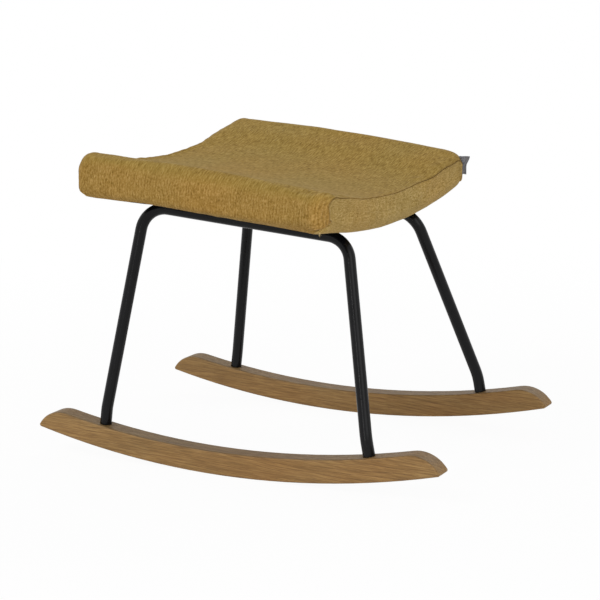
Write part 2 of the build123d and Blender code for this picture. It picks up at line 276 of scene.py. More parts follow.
# Tints of the fabric: red, green and blue shares
PALE_TUFT = (1.42, 1.50, 2.0, 1)
DARK_GAP = (0.58, 0.52, 0.32, 1)
WARM_DYE = (1.07, 0.97, 0.86, 1)
# painted sheen: paler, greener tint where the cloth faces up and toward the far side
PAINTED_SHEEN_TINT = (1.10, 1.14, 1.18, 1)
# painted light: paler cloth at the corners near the seams, where the cloth turns from the light
CORNER_PAINTED_LIGHT = (1.24, 1.20, 1.22, 1)
SEAM_SHADOW = (0.42, 0.36, 0.26, 1)

RIB_PITCH = 0.0042
RIB_WANDER = 0.0028
CORNER_RIBS = 2.2  # how much stronger the ribs are where the cloth is pulled round a corner
CORNER_FROM_SEAM = (0.050, 0.014)  # on the cloth map, where that pull sets in and is full
CORNER_FROM_HEM = (0.066, 0.050)
UPWARD = (0.25, 0.85)  # how far up the cloth faces, from its side colour to its top colour; that change is a painted sheen
FACES_FAR_SIDE = (0.10, 0.34)
FULL_SHADE = 1.6  # the shade at which a tuft is palest or a gap darkest
# strength of that painted sheen
PAINTED_SHEEN_STRENGTH = 0.6
SEAM_SHADOW_STRENGTH = 0.38


def fabric(n, top, side, rib_share, rib_height):
    """Ribbed chenille. Its map is in metres, x across the ribs and y along them."""
    cloth = n.cloth()
    wander = n.add(n.noise(n.scaled(cloth, 150, 70)), -0.5)
    x, y = n.split(cloth)[:2]
    x = n.add(x, n.times(wander, RIB_WANDER))
    rib = n.times(n.math("SINE", n.times(x, 2 * pi / RIB_PITCH)), 0.5)
    from_seam = n.fit(x, *CORNER_FROM_SEAM, smooth=True)
    corner = n.times(from_seam, n.fit(y, *CORNER_FROM_HEM, smooth=True))
    rib = n.times(rib, n.fit(corner, 0.0, 1.0, 1.0, CORNER_RIBS))
    weave = n.join(x, y)
    tufts = n.noise(n.scaled(weave, 560, 330), roughness=0.65)
    streaks = n.noise(n.scaled(weave, 420, 130), roughness=0.6)
    dashes = n.noise(n.scaled(weave, 470, 95), roughness=0.55)
    patches = n.noise(n.scaled(cloth, 60, 45), detail=3, roughness=0.6)
    drift = n.noise(n.scaled(cloth, 9, 7), detail=1)

    up = n.fit(n.normal("Z"), *UPWARD, smooth=True)
    side_shade = n.add(n.spread(tufts, -1.1, 1.1), n.spread(streaks, -0.9, 0.9))
    side_shade = n.add(side_shade, n.times(rib, rib_share))
    top_shade = n.add(n.spread(dashes, -1.2, 1.2), n.spread(tufts, -0.4, 0.4))
    shade = n.add(n.times(side_shade, n.math("SUBTRACT", 1.0, up)), n.times(top_shade, up))
    shade = n.add(shade, n.spread(patches, -0.35, 0.35))

    # painted sheen: the colour moves from the side's to the top's as the cloth faces up
    colour = n.mix(up, side, top)
    colour = n.tinted(n.fit(shade, 0.0, FULL_SHADE), colour, PALE_TUFT)
    colour = n.tinted(n.fit(shade, 0.0, -FULL_SHADE), colour, DARK_GAP)
    colour = n.tinted(n.fit(drift, 0.35, 0.65, 0.0, 0.55), colour, WARM_DYE)
    # painted sheen on the slopes that face up and toward the far side
    painted_sheen = n.times(n.fit(n.normal("Y"), *FACES_FAR_SIDE, smooth=True), up)
    colour = n.tinted(n.times(painted_sheen, PAINTED_SHEEN_STRENGTH), colour, PAINTED_SHEEN_TINT)
    # painted light that lifts the shade of the corners near the seams
    corner_light = n.times(corner, n.fit(x, 0.030, 0.014, smooth=True))
    colour = n.tinted(corner_light, colour, CORNER_PAINTED_LIGHT)
    seam_line = n.node("ShaderNodeAttribute", attribute_name="seam_line").outputs["Fac"]
    colour = n.tinted(n.times(seam_line, SEAM_SHADOW_STRENGTH), colour, SEAM_SHADOW)

    height = n.add(n.times(rib, rib_height), n.times(tufts, 0.9))
    height = n.add(height, n.times(n.add(streaks, dashes), 0.3))
    sheen = {"Specular IOR Level": 0.12, "Sheen Weight": 0.06, "Sheen Roughness": 0.45}
    n.surface(colour, 0.95, n.bump(height, 0.0011, 0.55), sheen)


WOOD_PALE = srgb(186, 151, 98)
WOOD_LIGHT = srgb(164, 129, 77)
WOOD_MID = srgb(138, 106, 59)
WOOD_DARK = srgb(104, 75, 43)
WOOD_PORE = srgb(84, 60, 38)
WOOD_WARM = (1.03, 0.93, 0.82, 1)
WOOD_TOP_PAINTED_SHADE = (0.56, 0.60, 0.66, 1)  # painted shade: the tint that darkens and greys the faces that look up
GRAIN_SLOPE = radians(-2.2)
RINGS_PER_METRE = 190


def oiled_oak(n):
    """Straight-grained oak, its grain along X with a small slope."""
    turn = {0: n.position(), "Axis": (0, 1, 0), "Angle": GRAIN_SLOPE}
    place = n.node("ShaderNodeVectorRotate", turn).outputs[0]
    _, y, z = n.split(place)
    bend = n.noise(n.scaled(place, 5, 14, 22))
    across = n.add(z, n.times(y, 0.55))
    rings = n.add(n.times(across, RINGS_PER_METRE), n.times(bend, 5.5))
    ring_edge = n.fit(n.math("FRACT", rings), 0.0, 0.34, 1.0, 0.0, smooth=True)
    fibres = n.noise(n.scaled(place, 34, 900, 900), detail=3, roughness=0.65)
    streaks = n.noise(n.scaled(place, 9, 210, 210), detail=3, roughness=0.6)
    pores = n.fit(n.noise(n.scaled(place, 120, 2300, 2300), detail=1), 0.60, 0.70)
    pores = n.times(pores, n.add(n.times(ring_edge, 0.75), 0.25))
    clouds = n.noise(n.scaled(place, 8, 20, 30))

    colour = n.mix(n.spread(streaks), WOOD_MID, WOOD_LIGHT)
    colour = n.mix(n.times(ring_edge, 0.50), colour, WOOD_DARK)
    colour = n.mix(n.fit(fibres, 0.42, 0.70, 0.0, 0.62), colour, WOOD_DARK)
    colour = n.mix(n.fit(fibres, 0.48, 0.30, 0.0, 0.40), colour, WOOD_PALE)
    colour = n.mix(n.times(pores, 0.7), colour, WOOD_PORE)
    colour = n.tinted(n.fit(clouds, 0.35, 0.7, 0.0, 0.8), colour, WOOD_WARM)
    # painted shade on the faces that look up
    painted_top_shade = n.fit(n.normal("Z"), 0.50, 0.95, 0.0, 0.80, smooth=True)
    colour = n.tinted(painted_top_shade, colour, WOOD_TOP_PAINTED_SHADE)

    height = n.add(n.times(fibres, 0.5), n.math("SUBTRACT", 1.0, pores))
    roughness = n.spread(fibres, 0.46, 0.62)
    n.surface(colour, roughness, n.bump(height, 0.00018, 0.6), {"Specular IOR Level": 0.35})


def satin_paint(n):
    """Black satin paint on steel, with a faint orange peel and rubbed high spots."""
    place = n.position()
    peel = n.noise(place, scale=420, detail=1)
    cloud = n.noise(place, scale=26, detail=3)
    dust = n.noise(place, scale=1500, detail=1)
    colour = n.mix(n.spread(cloud), srgb(11, 11, 12), srgb(18, 18, 20))
    colour = n.mix(n.fit(dust, 0.66, 0.76, 0.0, 0.4), colour, srgb(44, 45, 47))
    roughness = n.spread(cloud, 0.20, 0.27)
    n.surface(colour, roughness, n.bump(peel, 0.0002, 0.25), {"Specular IOR Level": 0.16})


def zinc_plate(n):
    """Zinc-plated steel: turned, slightly cloudy, with darker handling marks."""
    place = n.position()
    cloud = n.noise(place, scale=180, detail=4)
    scratch = n.noise(n.scaled(place, 4200, 700, 4200))
    colour = n.mix(n.spread(cloud), srgb(148, 150, 152), srgb(188, 190, 190))
    roughness = n.spread(cloud, 0.26, 0.42)
    n.surface(colour, roughness, n.bump(scratch, 0.00004, 0.6), {"Metallic": 1.0})


def pad_rubber(n):
    """Matt black rubber with a fine bloom."""
    grain = n.noise(n.position(), scale=1400, detail=3)
    bloom = n.noise(n.position(), scale=90, detail=3)
    colour = n.mix(n.fit(bloom, 0.35, 0.7), srgb(24, 24, 25), srgb(42, 42, 43))
    n.surface(colour, 0.85, n.bump(grain, 0.0001, 0.7), {"Specular IOR Level": 0.3})


PLY_THICKNESS = 0.0014


def shell_plywood(n):
    """Birch plywood: fine grain on its faces and thin layers at its edges."""
    place = n.position()
    grain = n.noise(n.scaled(place, 30, 700, 260), detail=4, roughness=0.6)
    flame = n.noise(n.scaled(place, 7, 60, 40), detail=3, distortion=0.6)
    layer = n.math("FRACT", n.times(n.split(place)[2], 1 / PLY_THICKNESS))
    colour = n.mix(n.spread(grain), srgb(196, 168, 124), srgb(220, 196, 154))
    colour = n.mix(n.fit(flame, 0.45, 0.7, 0.0, 0.5), colour, srgb(180, 148, 104))
    glue = n.fit(layer, 0.0, 0.15, 1.0, 0.0)
    sideways = n.fit(n.math("ABSOLUTE", n.normal("Z")), 0.5, 0.2)
    colour = n.mix(n.times(n.times(glue, sideways), 0.7), colour, srgb(120, 88, 56))
    n.surface(colour, 0.6, n.bump(grain, 0.0002, 0.5))


def dust_cloth(n):
    """Black spun-bonded cloth: pressed dots and loose fibres."""
    cloth = n.cloth()
    cells = n.node("ShaderNodeTexVoronoi", {"Vector": cloth, "Scale": 620.0}, feature="F1")
    dots = n.fit(cells.outputs["Distance"], 0.18, 0.42)
    fibres = n.noise(n.scaled(cloth, 900, 900), detail=4, roughness=0.7)
    cloud = n.noise(n.scaled(cloth, 40, 40), detail=3)
    colour = n.mix(n.fit(fibres, 0.35, 0.75), srgb(15, 15, 16), srgb(44, 44, 46))
    colour = n.mix(n.fit(cloud, 0.4, 0.7, 0.0, 0.4), colour, srgb(28, 28, 30))
    height = n.add(n.times(dots, 0.6), n.times(fibres, 0.6))
    n.surface(colour, 0.9, n.bump(height, 0.0003, 0.7), {"Specular IOR Level": 0.2})


WARP_PITCH = 0.0005
WEFT_PITCH = 0.0004


def ribbon_cloth(n):
    """Grey woven ribbon, with fine ribs across, paler where the weave's threads rise."""
    cloth = n.cloth()
    x, y = n.split(cloth)[:2]
    warp = n.math("SINE", n.times(x, 2 * pi / WARP_PITCH))
    weft = n.math("SINE", n.times(y, 2 * pi / WEFT_PITCH))
    weave = n.add(n.times(warp, 0.5), n.times(weft, 0.5))
    cloud = n.noise(n.scaled(cloth, 500, 120), detail=3)
    colour = n.mix(n.spread(cloud), srgb(92, 93, 98), srgb(132, 133, 138))
    colour = n.mix(n.fit(weave, 0.2, 1.0, 0.0, 0.35), colour, srgb(158, 159, 164))
    sheen = {"Specular IOR Level": 0.4, "Sheen Weight": 0.2}
    n.surface(colour, 0.5, n.bump(weave, 0.00012, 0.8), sheen)


def foam(n):
    """Cream upholstery foam with open cells."""
    cells = n.node("ShaderNodeTexVoronoi", {"Vector": n.position(), "Scale": 900.0})
    cloud = n.noise(n.position(), scale=35, detail=3)
    colour = n.mix(n.spread(cloud), srgb(214, 200, 160), srgb(232, 222, 190))
    n.surface(colour, 0.95, n.bump(cells.outputs["Distance"], 0.0006, 0.8))


def thread(n):
    """Pale yarn ends."""
    fuzz = n.noise(n.position(), scale=2500)
    colour = n.mix(n.spread(fuzz), srgb(186, 158, 102), srgb(222, 202, 152))
    n.surface(colour, 0.9, n.bump(fuzz, 0.0002))


COVER_FABRIC = make_material("ribbed_chenille", fabric, FABRIC_TOP, FABRIC_SIDE, 0.45, 0.5)
PANEL_FABRIC = make_material("panel_chenille", fabric, FABRIC_PANEL, FABRIC_PANEL, 0.25, 0.3)
OAK = make_material("oiled_oak", oiled_oak)
BLACK_PAINT = make_material("black_satin_paint", satin_paint)
ZINC = make_material("zinc_plated_steel", zinc_plate)
RUBBER = make_material("black_rubber", pad_rubber)
PLYWOOD = make_material("birch_plywood", shell_plywood)
DUST_CLOTH = make_material("black_dust_cloth", dust_cloth)
RIBBON = make_material("grey_ribbon", ribbon_cloth)
FOAM = make_material("cream_foam", foam)
THREAD = make_material("pale_yarn", thread)

NODE_MATERIALS = {
    OAK: "rocker_right rocker_left",
    BLACK_PAINT: "leg_frame_right leg_frame_left cross_bar_high cross_bar_low",
    ZINC: "leg_plugs rocker_bolts rocker_washers seat_bolts seat_washers staples t_nuts",
    RUBBER: "seat_pads",
}
for material, names in NODE_MATERIALS.items():
    for name in names.split():
        for place in NODES[name].material_slots:
            place.material = material

# ----- cushion: base form

TOP_COLUMNS = 96
SIDE_COLUMNS = 9
COLUMNS = 2 * (TOP_COLUMNS + SIDE_COLUMNS)
ROW_LENGTH = 0.0056
RIM_ARC = END_ROUND * pi / 2
FLAT_RING = 0.006  # how far the rows go on over an end's flat, inside its rim
UPRIGHT_ROUND_LOW = 0.017  # of the upright corners at each end, seen from above
UPRIGHT_ROUND_HIGH = 0.0075
LOW_HEM_ROUND = 0.022
LOW_HEM_FROM = 0.07  # along the seat, where the hem's round begins to grow to that
SMALLEST_ROUND = 0.003
# Points along a form's lines and rounds, before they are spaced evenly
LINE_POINTS = 60
RIDGE_POINTS = 30
HEM_POINTS = 20
FLAT_STATIONS = 7  # over an end's flat, round its rim, and along the seat
RIM_STATIONS = 25
STRAIGHT_STATIONS = 241

# A closed form: its underside's level and radius, the round of its lower edges at the
# high end and at the low end, and how far it lies inside the seat's outer form
COVER_FORM = (SEAT_LIFT, UNDERSIDE_RADIUS, HEM_ROUND, LOW_HEM_ROUND, 0.0)
FOAM_INSET = 0.0026
FOAM_HEM_ROUND = 0.008
FOAM_ROW_LENGTH = 0.0114
SHELL_TOP = SEAT_LIFT + COVER_THICKNESS + SHELL_THICKNESS
SHELL_TOP_RADIUS = UNDERSIDE_RADIUS - COVER_THICKNESS - SHELL_THICKNESS
FOAM_FORM = (SHELL_TOP, SHELL_TOP_RADIUS, FOAM_HEM_ROUND, FOAM_HEM_ROUND, FOAM_INSET)


def arc_points(centre, radius, start, end, count):
    angles = np.linspace(start, end, count)
    return np.stack([centre[0] + radius * np.cos(angles), centre[1] + radius * np.sin(angles)], 1)


def spaced(line, count):
    """Points at equal distances along a line, count steps from end to end."""
    along = np.concatenate([[0], np.cumsum(np.linalg.norm(np.diff(line, axis=0), axis=1))])
    places = np.linspace(0, along[-1], count + 1)
    return np.stack([np.interp(places, along, line[:, k]) for k in range(2)], 1)


def upright_inset(reach, upright_round):
    """How far an upright corner's round moves a long side in, at a reach from the end."""
    left = max(upright_round - reach, 0.0)
    return upright_round - sqrt(upright_round**2 - left**2)


def outline(u, form, up_inset=0.0, side_inset=0.0):
    """A form's outline (v, w) square to its length, as columns.

    They go round from the near hem up the near side, over the top to the far side,
    down it, and back along the underside. Corners are in the middle of each round."""
    level, under_radius, high_hem, low_hem, skin = form
    off_middle = 2 * (u - SEAT_MIDDLE) / SEAT_LENGTH
    swell = 1 - off_middle**2
    half = SEAT_WIDTH / 2 - DRAW_IN * swell - side_inset - skin
    top = SEAT_LIFT + VALLEY_THICKNESS + CROWN * swell - up_inset - skin
    bottom = level + up_inset
    ridge = RIDGE_ROUND - up_inset - skin
    hem_round = high_hem + (low_hem - high_hem) * float(ramp(u, LOW_HEM_FROM, LOW_END))
    hem = max(hem_round - up_inset, SMALLEST_ROUND)
    saddle = SADDLE_RADIUS + up_inset + skin
    under = under_radius - up_inset

    ridge_level = top + saddle - sqrt((saddle + ridge) ** 2 - (half - ridge) ** 2)
    hem_level = bottom + under - sqrt((under - hem) ** 2 - (half - hem) ** 2)
    ridge_end = atan2(top + saddle - ridge_level, -(half - ridge))
    hem_start = atan2(hem_level - bottom - under, half - hem)
    ridge_mid = ridge_end / 2
    hem_mid = hem_start / 2
    ridge_centre = (half - ridge, ridge_level)
    hem_centre = (half - hem, hem_level)
    ridge_over = arc_points(ridge_centre, ridge, ridge_mid, ridge_end, RIDGE_POINTS)
    ridge_side = arc_points(ridge_centre, ridge, 0, ridge_mid, RIDGE_POINTS)
    hem_side = arc_points(hem_centre, hem, hem_mid, 0, HEM_POINTS)
    hem_under = arc_points(hem_centre, hem, hem_start, hem_mid, HEM_POINTS)

    v = np.linspace(ridge_over[-1, 0], 0, LINE_POINTS)
    saddle_line = np.stack([v, top + saddle - np.sqrt(saddle**2 - v**2)], 1)
    v = np.linspace(0, hem_under[0, 0], LINE_POINTS)
    under_line = np.stack([v, bottom + under - np.sqrt(under**2 - v**2)], 1)
    top_half = np.concatenate([ridge_over, saddle_line])
    side = np.concatenate([hem_side, ridge_side])
    under_half = np.concatenate([under_line, hem_under])
    mirror = np.array([-1, 1])
    near_side = spaced(side * mirror, SIDE_COLUMNS)
    over_top = spaced(np.concatenate([top_half * mirror, top_half[::-1]]), TOP_COLUMNS)
    far_side = spaced(side[::-1], SIDE_COLUMNS)
    below = spaced(np.concatenate([under_half[::-1], under_half * mirror]), TOP_COLUMNS)
    return np.concatenate([near_side[:-1], over_top[:-1], far_side[:-1], below[:-1]])


def end_stations(upright_round):
    """From an end's flat to its side: distance, depth, up inset and side inset."""
    stations = []
    for step in np.linspace(FLAT_RING, 0, FLAT_STATIONS)[:-1]:
        stations.append((-step, 0.0, END_ROUND + step, upright_round + step))
    for angle in np.linspace(0, pi / 2, RIM_STATIONS)[:-1]:
        depth = END_ROUND * (1 - cos(angle))
        inset = END_ROUND * (1 - sin(angle))
        stations.append((END_ROUND * angle, depth, inset, upright_inset(depth, upright_round)))
    return stations


STRAIGHT = SEAT_LENGTH - 2 * END_ROUND
SURFACE_LENGTH = 2 * RIM_ARC + STRAIGHT  # along the top, between the ends' flats


def base_table(form):
    """A form's outlines from the low end's flat to the high end's, by surface distance."""
    stations = end_stations(UPRIGHT_ROUND_LOW)
    for part in np.linspace(0, STRAIGHT, STRAIGHT_STATIONS):
        depth = END_ROUND + part
        side = upright_inset(depth, UPRIGHT_ROUND_LOW)
        side += upright_inset(SEAT_LENGTH - depth, UPRIGHT_ROUND_HIGH)
        stations.append((RIM_ARC + part, depth, 0.0, side))
    for distance, depth, up_inset, side_inset in end_stations(UPRIGHT_ROUND_HIGH)[::-1]:
        place = SURFACE_LENGTH - distance
        stations.append((place, SEAT_LENGTH - depth, up_inset, side_inset))
    distances = np.array([station[0] for station in stations])
    rows = []
    skin = form[-1]
    for _, depth, up_inset, side_inset in stations:
        ring = outline(LOW_END - depth, form, up_inset, side_inset)
        u = np.clip(LOW_END - depth, HIGH_END + skin, LOW_END - skin)
        rows.append(np.column_stack([np.full(len(ring), u), ring]))
    return distances, np.array(rows)


COVER_TABLE = base_table(COVER_FORM)


def read_rows(table_distances, table_rows, distances):
    """Rows of a table read at a surface distance for each row and column."""
    out = np.zeros(distances.shape + (3,))
    for column in range(COLUMNS):
        places = distances[:, column]
        for axis in range(3):
            out[:, column, axis] = np.interp(places, table_distances, table_rows[:, column, axis])
    return out


def end_patch(ring):
    """The grid that fills an end's flat, row by row upward, from its ring's columns."""
    near = ring[: SIDE_COLUMNS + 1]
    top = ring[SIDE_COLUMNS : SIDE_COLUMNS + TOP_COLUMNS + 1]
    far_start = SIDE_COLUMNS + TOP_COLUMNS
    far = ring[far_start : far_start + SIDE_COLUMNS + 1][::-1]
    below = np.concatenate([ring[far_start + SIDE_COLUMNS :], ring[:1]])[::-1]
    a = np.linspace(0, 1, TOP_COLUMNS + 1)[None, :, None]
    b = np.linspace(0, 1, SIDE_COLUMNS + 1)[:, None, None]
    corners = (1 - a) * (1 - b) * below[0] + a * (1 - b) * below[-1]
    corners = corners + (1 - a) * b * top[0] + a * b * top[-1]
    edges = (1 - b) * below[None] + b * top[None] + (1 - a) * near[:, None] + a * far[:, None]
    return edges - corners


def ring_index(j, i):
    """The ring's column at row j and place i of an end's grid, or None inside it."""
    if j == 0:
        return (COLUMNS - i) % COLUMNS
    if i == 0:
        return j
    if j == SIDE_COLUMNS:
        return SIDE_COLUMNS + i
    if i == TOP_COLUMNS:
        return 2 * SIDE_COLUMNS + TOP_COLUMNS - j
    return None


def patch_faces(ring_start, inside_start, flip):
    """Quads that fill an end's flat between its ring and its inner points."""

    def point(j, i):
        column = ring_index(j, i)
        if column is not None:
            return ring_start + column
        return inside_start + (j - 1) * (TOP_COLUMNS - 1) + i - 1

    faces = []
    for j in range(SIDE_COLUMNS):
        for i in range(TOP_COLUMNS):
            quad = (point(j, i), point(j, i + 1), point(j + 1, i + 1), point(j + 1, i))
            faces.append(quad[::-1] if flip else quad)
    return faces


class ClosedForm:
    """Rows of columns with a filled flat at each end, as one list of seat points."""

    def __init__(self, grid):
        self.rows = len(grid)
        insides = [end_patch(grid[end])[1:-1, 1:-1].reshape(-1, 3) for end in (0, -1)]
        self.points = np.concatenate([grid.reshape(-1, 3), *insides])
        self.low_start = self.rows * COLUMNS
        self.high_start = self.low_start + len(insides[0])
        self.grid_faces = tube_faces(self.rows, COLUMNS)
        self.low_faces = patch_faces(0, self.low_start, True)
        self.high_faces = patch_faces(self.low_start - COLUMNS, self.high_start, False)
        self.faces = self.grid_faces + self.low_faces + self.high_faces

    def extended(self, grid_values, inside_value):
        """Values at the rows' points, with one value at all the points inside the ends."""
        count = len(self.points) - self.low_start
        return np.concatenate([np.ravel(grid_values), np.full(count, inside_value)])


def even_form(table, ring, spacing):
    """Evenly spaced rows that pass each end's rim by ring: distances and closed form."""
    length = SURFACE_LENGTH + 2 * ring
    even = np.linspace(-ring, SURFACE_LENGTH + ring, int(round(length / spacing)) + 1)
    distances = np.repeat(even[:, None], COLUMNS, axis=1)
    return even, distances, ClosedForm(read_rows(*table, distances))


# ----- cushion: how it is stuffed

VALLEY_FULLNESS = 0.0004
# Two heights are those of the near and the far side. A ZONE is where something sets in
# and where it is full: across the seat, from its middle line, or along it.
SLOPE_FULLNESS = (0.0016, 0.0040)  # of the ridges' inner slopes
SLOPE_MIDDLE = 0.143
SLOPE_WIDTH = 0.032
RIDGE_CROWN = (0.0009, 0.0030)
RIDGE_ZONE = (0.120, 0.190)  # across
CROWN_POWERS = (9.0, 4.0)  # how late the crown falls off toward the high and the low end
RIDGE_TOP = 0.0735
LOW_RIDGE_DROOP = (0.0010, 0.0034)
LOW_RIDGE_REACH = 0.034  # how far from the low end the ridges begin to droop
LOW_EDGE_ZONE = (0.145, 0.157)  # along, of the low end's lower edge
LOW_BELLY = 0.0048  # how far that edge hangs in the middle
BELLY_FROM = 0.03  # across, where the belly begins to lessen
BELLY_TO = (0.17, 0.21)  # and is gone, on the near and the far side
LOW_CORNER_RISE = 0.0022
CORNER_FROM = (0.120, 0.150)  # across, on the near and the far side
CORNER_REACH = 0.05
HEM_ZONE = (0.196, 0.208)  # across, of the long sides' hems
HIGH_HEM_SAG = 0.0055
HIGH_HEM_ZONE = (-0.085, -0.185)  # along
LOW_HEM_RISE = 0.0024
LOW_HEM_ZONE = (-0.03, 0.10)  # along


def stuffed_shift(u, v, share):
    """How far the stuffed form lies above its base form; share is 0 below, 1 on top."""
    across = np.abs(v)
    off_middle = 2 * (u - SEAT_MIDDLE) / SEAT_LENGTH
    crown = 1 - np.clip(np.abs(off_middle), 0, 1) ** np.where(off_middle < 0, *CROWN_POWERS)
    ridge = ramp(across, *RIDGE_ZONE)
    top = VALLEY_FULLNESS * (1 - ridge) + np.where(v < 0, *RIDGE_CROWN) * ridge * crown
    top = top + np.where(v < 0, *SLOPE_FULLNESS) * bell(across, SLOPE_MIDDLE, SLOPE_WIDTH)
    droop = np.where(v < 0, *LOW_RIDGE_DROOP) * ridge
    top = top - droop * ramp(u, LOW_END - LOW_RIDGE_REACH, LOW_END)

    low_edge = ramp(u, *LOW_EDGE_ZONE)
    belly_end = np.where(v < 0, *BELLY_TO)
    belly = LOW_BELLY * (1 - ramp(across, BELLY_FROM, belly_end)) * low_edge
    corner_from = np.where(v < 0, *CORNER_FROM)
    corner = ramp(across, corner_from, corner_from + CORNER_REACH)
    corner = LOW_CORNER_RISE * corner * low_edge
    hem = ramp(across, *HEM_ZONE)
    sag = HIGH_HEM_SAG * ramp(u, *HIGH_HEM_ZONE)
    rise = LOW_HEM_RISE * ramp(u, *LOW_HEM_ZONE)
    under = np.maximum(hem * rise, corner) - hem * sag - belly
    return share * top + (1 - share) * under


def height_share(v, w):
    """Where a point lies between the underside, 0, and the top, 1."""
    below = SEAT_LIFT + v**2 / (2 * UNDERSIDE_RADIUS)
    above = np.minimum(SEAT_LIFT + VALLEY_THICKNESS + v**2 / (2 * SADDLE_RADIUS), RIDGE_TOP)
    return np.clip((w - below) / (above - below), 0, 1)


def stuffed(points):
    u, v, w = points.T
    return points + np.outer(stuffed_shift(u, v, height_share(v, w)), (0, 0, 1))


# ----- cushion: settled by pressure

PRESSURE = 2.5
MOST_SWELL = 0.0045
START_INSET = 0.0016
SETTLE_FRAMES = 20
SETTLE_SHARE = 0.5  # of the settled skin's moves that the taut cover follows
SEAM_HOLD = 0.85
SEAM_HOLD_WIDTH = 0.004
UNDERSIDE_HELD = (0.30, 0.10)  # shares of the height, from loose to held
LEAST_HOLD = 0.01
CLOTH = dict(quality=6, mass=0.3, tension_stiffness=20, compression_stiffness=20)
CLOTH.update(shear_stiffness=8, bending_stiffness=0.6, shrink_min=-0.012)
CLOTH.update(use_pressure=True, uniform_pressure_force=PRESSURE, vertex_group_mass="pins")


def settle(points, faces, hold):
    """Swells a closed skin for a few frames and returns how far each point moves."""
    mesh = new_mesh("settling", points, faces)
    skin = new_object("settling", mesh)
    pins = skin.vertex_groups.new(name="pins")
    for index, weight in enumerate(hold):
        if weight > LEAST_HOLD:
            pins.add([index], float(weight), "REPLACE")
    cloth = add_modifier(skin, "CLOTH")
    set_all(cloth.settings, CLOTH)
    cloth.settings.effector_weights.gravity = 0
    scene = bpy.context.scene
    cloth.point_cache.frame_start = 1
    cloth.point_cache.frame_end = SETTLE_FRAMES
    for step in range(1, SETTLE_FRAMES + 1):
        scene.frame_set(step)
    evaluated = skin.evaluated_get(bpy.context.evaluated_depsgraph_get())
    moved = np.zeros(len(points) * 3)
    evaluated.data.vertices.foreach_get("co", moved)
    scene.frame_set(1)
    bpy.data.objects.remove(skin)
    bpy.data.meshes.remove(mesh)
    move = moved.reshape(-1, 3) - points
    length = np.linalg.norm(move, axis=1, keepdims=True)
    return move * np.minimum(1, MOST_SWELL / np.maximum(length, 1e-9))


def swell_field():
    """How far pressure moves the skin: at even rows, and inside each end's flat."""
    even, distances, form = even_form(COVER_TABLE, FLAT_RING, ROW_LENGTH)
    points = to_frame(stuffed(form.points))
    normals = vertex_normals(points, form.faces)
    underside = ramp(height_share(*form.points.T[1:]), *UNDERSIDE_HELD)
    from_low = np.abs(distances - SEAM)
    from_high = np.abs(SURFACE_LENGTH - SEAM - distances)
    from_seam = form.extended(np.minimum(from_low, from_high), FAR_FROM_SEAMS)
    seam_hold = SEAM_HOLD * bell(from_seam, 0, SEAM_HOLD_WIDTH)
    start = points - normals * START_INSET * (1 - underside)[:, None]
    hold = np.clip(np.maximum(underside, seam_hold), 0, 1)
    move = SETTLE_SHARE * (settle(start, form.faces, hold) + (start - points))
    grid_move = move[: form.low_start].reshape(len(even), COLUMNS, 3)
    return even, grid_move, move[form.low_start :]


# ----- cushion: seams, folds, waves

SEAM_VALLEY = 0.0100  # surface distances from an end's rim to its seam
SEAM_SLOPE = (0.0072, 0.0050)  # on the near and the far ridge's inner slope
SEAM_RIDGE = (0.0044, 0.0030)
SEAM_SIDE = 0.0004
SEAM_LOW_CORNER = -0.0045  # where the hem's round draws the end in
SEAM_UNDER = 0.0220
SEAM_DEPTH = 0.0013
SEAM_HALF_WIDTH = 0.0014
SEAM_LINE_WIDTH = 0.0010
FAINTNESS = 0.85  # of that line in the valley
FAINT_NEAR = (-0.190, -0.165)  # across, where the line begins to fade and is faintest
FAINT_FAR = (0.12, 0.02)
SEAM_TOP = (0.55, 0.85)  # shares of the height, from a side's value to the top's
SEAM_CORNER = (0.34, 0.12)  # from the side's value to the low corner's
SEAM_SLOPE_ZONE = (0.180, 0.120)  # across, from the ridge's value to the slope's
SEAM_VALLEY_ZONE = (0.125, 0.060)
SEAM_UNDER_SHARES = (0.05, 0.0)  # shares of the height, to the underside's value
FAR_FROM_SEAMS = 0.03  # what counts as the distance for the points inside the ends
PANEL_STEPS = np.array([0.0, 0.11, 0.26, 0.52, 1.0])  # shares of the rows' way to a seam
COVER_STEPS = [0.0, 0.7, 1.7, 3.2, 4.8, 6.4, 8.0, 9.5, 11.0, 12.6, 14.5, 16.5, 19.0]
COVER_STEPS = np.array(COVER_STEPS) / 1000  # the rows' distances from a seam
CREASE_FROM_SEAM = 0.0105  # a soft crease in the low end's valley
CREASE_DEPTH = 0.0007
CREASE_WIDTH = 0.0024
CREASE_NEAR = (-0.165, -0.120)  # across, where it sets in and is full
CREASE_FAR = (0.070, 0.010)
FOLDS_FROM_SEAM = (0.0095, 0.0165)  # upright folds in the sides, by the low corners
FOLD_DEPTH = 0.0009
FOLD_WIDTH = 0.0017
PUCKER_HEIGHT = 0.00045
PUCKER_LENGTH = 0.011
PUCKER_REACH = 0.009
ROLL_HEIGHT = 0.0005  # of the soft roll at each side of a seam
ROLL_FROM_SEAM = 0.0055
ROLL_WIDTH = 0.0035
LUMP_HEIGHT = 0.0006  # of the slow unevenness all over
LUMP_SIZE = 0.045
HEM_WAVE = 0.0004
HEM_WAVE_LENGTHS = (0.026, 0.011)
SHORT_WAVE_SHARE = 0.6
SIDES_APART = 3  # how far apart the two sides lie on the long wave's noise
END_WAVE_LENGTH = 0.030
FOLD_ZONE = (0.190, 0.203)  # across
HEM_WAVE_ZONE = (0.185, 0.205)  # across
END_WAVE_ZONE = (0.012, 0.004)  # from an end
# Shares of the height at which each of these sets in and is full
CREASE_SHARES = (0.7, 0.9)
FOLD_SHARES = (0.95, 0.65)
SKIN_SHARES = (0.02, 0.10)  # below them, the underside stays tight on its board
HEM_WAVE_SHARES = (0.35, 0.05)
SEAM_LINE_SHARES = (0.05, 0.12)


